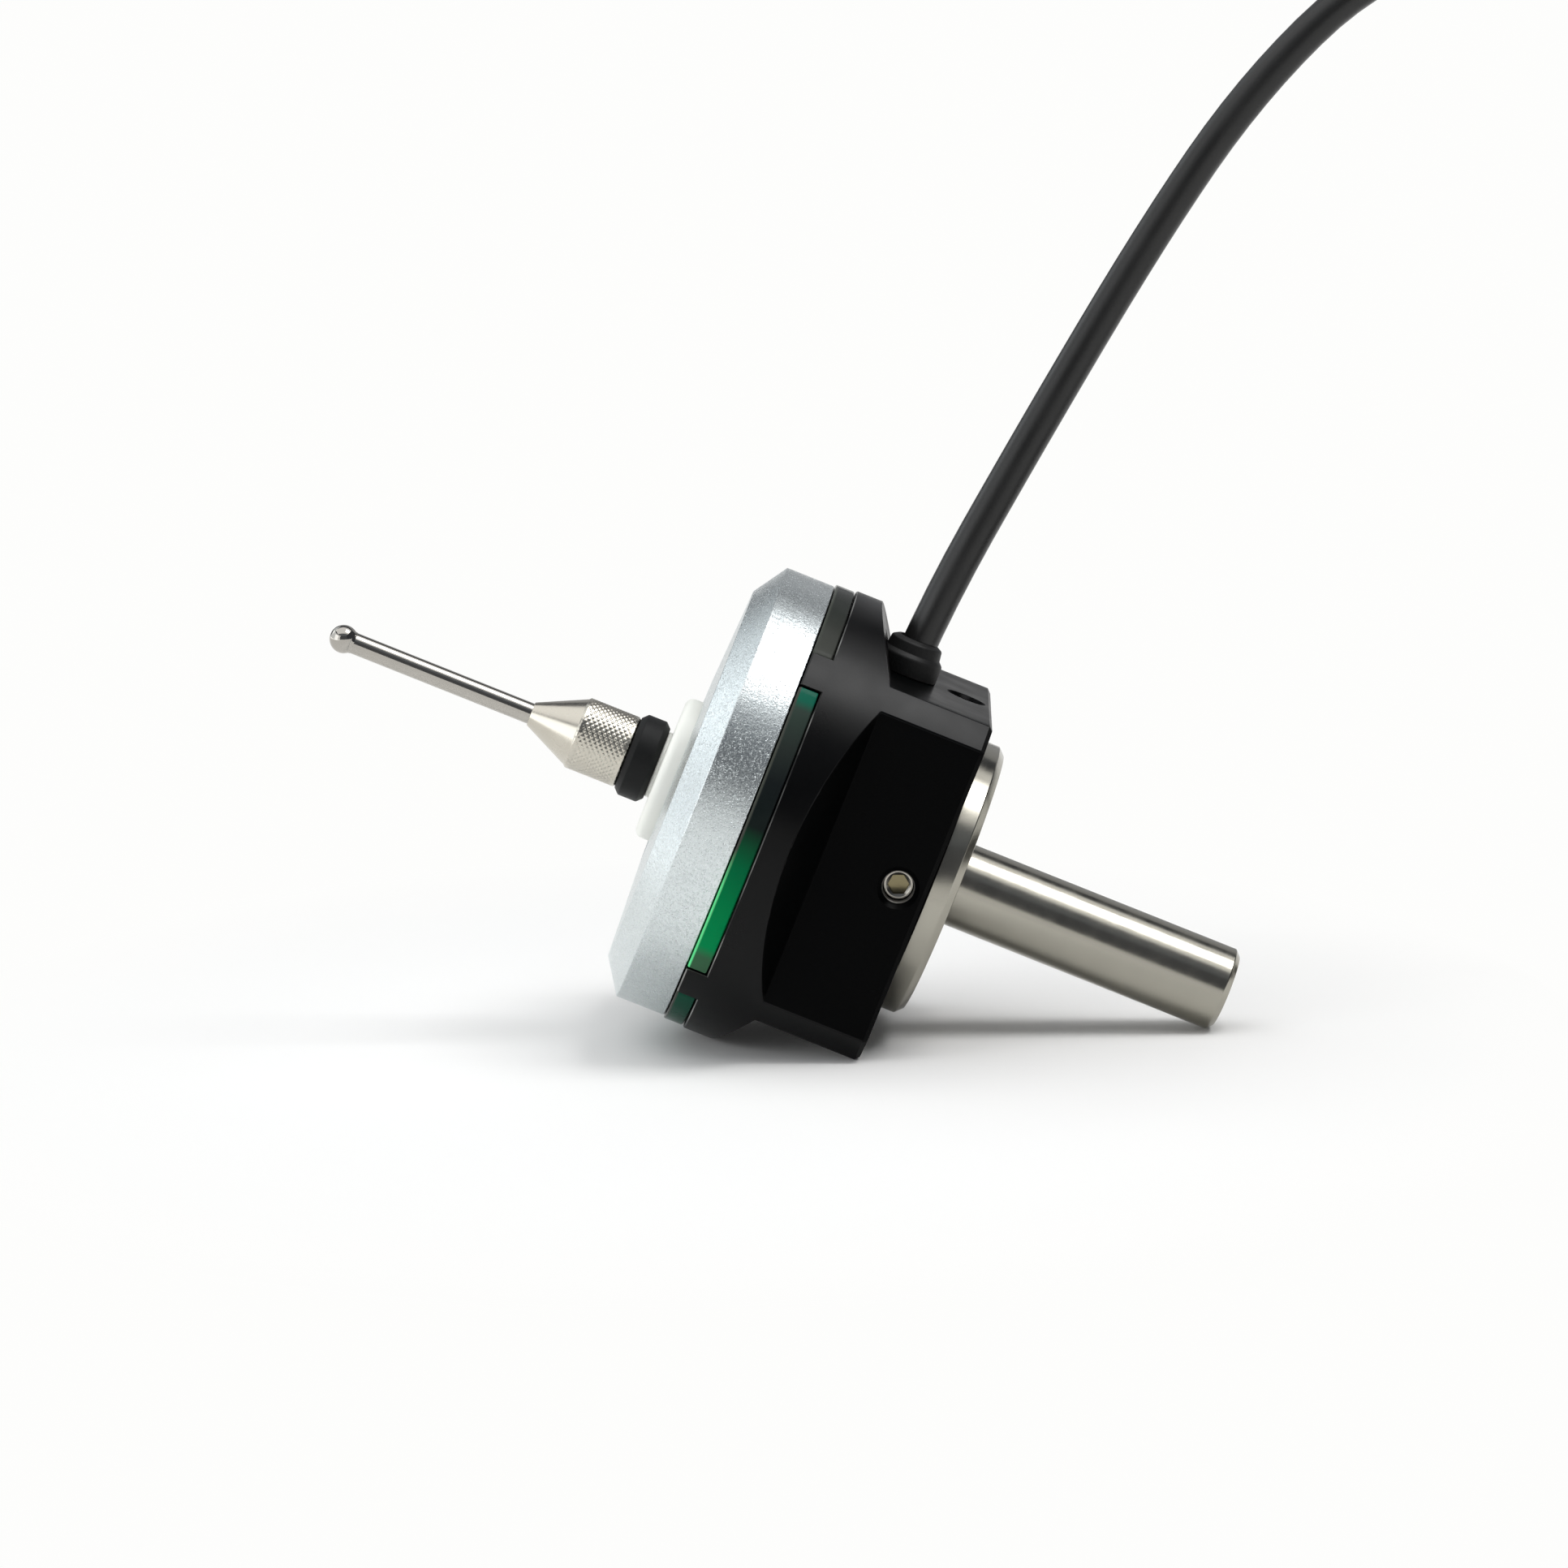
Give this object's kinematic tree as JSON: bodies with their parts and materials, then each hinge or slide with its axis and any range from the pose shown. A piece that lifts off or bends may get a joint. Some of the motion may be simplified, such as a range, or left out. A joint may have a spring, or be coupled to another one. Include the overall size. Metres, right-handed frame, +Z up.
{
  "type": "touch probe",
  "caption": "Wired touch probe lying on its side: ball stylus, silver front ring, flatted black body with green windows, flanged round shank, and a cable coiled beside it.",
  "frame": {"origin": "centre of the probe's footprint box on the bench it lies on, cable aside", "axes": "+X from the stylus towards the shank, +Z up from the bench; the probe's axis lies in the XZ plane and dips towards the shank"},
  "size_m": [0.1309, 0.0488, 0.0762],
  "materials": {
    "stylus_steel": "polished",
    "black_steel": "blackened, matt",
    "white_plastic": "moulded, smooth",
    "ring_aluminium": "bead blasted, clear anodised",
    "black_aluminium": "black anodised, matt",
    "green_window": "translucent, clear polished",
    "ground_steel": "ground",
    "hard_steel": "polished",
    "screw_steel": "plain",
    "spring_steel": "drawn wire",
    "seal_rubber": "smooth",
    "plate_plastic": "moulded",
    "board": "solder resist",
    "led_plastic": "clear",
    "chip_plastic": "moulded",
    "lead_plastic": "insulated wire",
    "cable_jacket": "satin",
    "gland_rubber": "matt",
    "tie_strap": "woven",
    "plug_rubber": "matt",
    "plug_nickel": "nickel plated",
    "plug_plastic": "moulded",
    "plug_gold": "plated"
  },
  "bodies": {
    "probe": {"board_components": "chip_plastic", "board_screws": "screw_steel", "cable": "cable_jacket", "cable_coil": "cable_jacket", "cable_gland": "gland_rubber", "cable_tail": "cable_jacket", "cable_tie": "tie_strap", "contact_balls": "hard_steel", "contact_leads": "lead_plastic", "contact_plate": "plate_plastic", "front_ring": "ring_aluminium", "led_board": "board", "led_leads": "lead_plastic", "leds": "led_plastic", "light_guide": "green_window", "main_body": "black_aluminium", "plug_boot": "plug_rubber", "plug_insert": "plug_plastic", "plug_pins": "plug_gold", "plug_shell": "plug_nickel", "set_screws": "screw_steel", "shank": "ground_steel", "shank_screw": "screw_steel", "signal_board": "board", "signal_leads": "lead_plastic", "spring_seat": "white_plastic", "spring_washer": "screw_steel"},
    "spring_link": {"return_spring": "spring_steel"},
    "seal_link": {"dust_seal": "seal_rubber"},
    "stylus_carrier": {"carrier_hub": "white_plastic", "kinematic_pins": "hard_steel", "stylus_holder": "stylus_steel", "stylus_stem": "stylus_steel", "stylus_ball": "stylus_steel", "lock_nut": "black_steel"}
  },
  "joints": [
    {"name": "tilt_off_first_seat", "type": "hinge", "parent": "probe", "child": "spring_link", "pos_m": [-0.00564, 0, 0.01265], "axis": [0, 1, 0], "range_deg": [0, 10], "stiffness_Nm_per_rad": 0.03, "springref_deg": -25.78, "deforming": ["return_spring"]},
    {"name": "tilt_off_second_seat", "type": "hinge", "parent": "spring_link", "child": "seal_link", "pos_m": [-0.00291, 0.00409, 0.01919], "axis": [0.3338, -0.5, 0.7991], "range_deg": [0, 10], "stiffness_Nm_per_rad": 0.03, "springref_deg": -25.78, "deforming": ["dust_seal"]},
    {"name": "tilt_off_third_seat", "type": "hinge", "parent": "seal_link", "child": "stylus_carrier", "pos_m": [-0.00291, -0.00409, 0.01919], "axis": [-0.3338, -0.5, -0.7991], "range_deg": [0, 10], "stiffness_Nm_per_rad": 0.03, "springref_deg": -25.78}
  ]
}
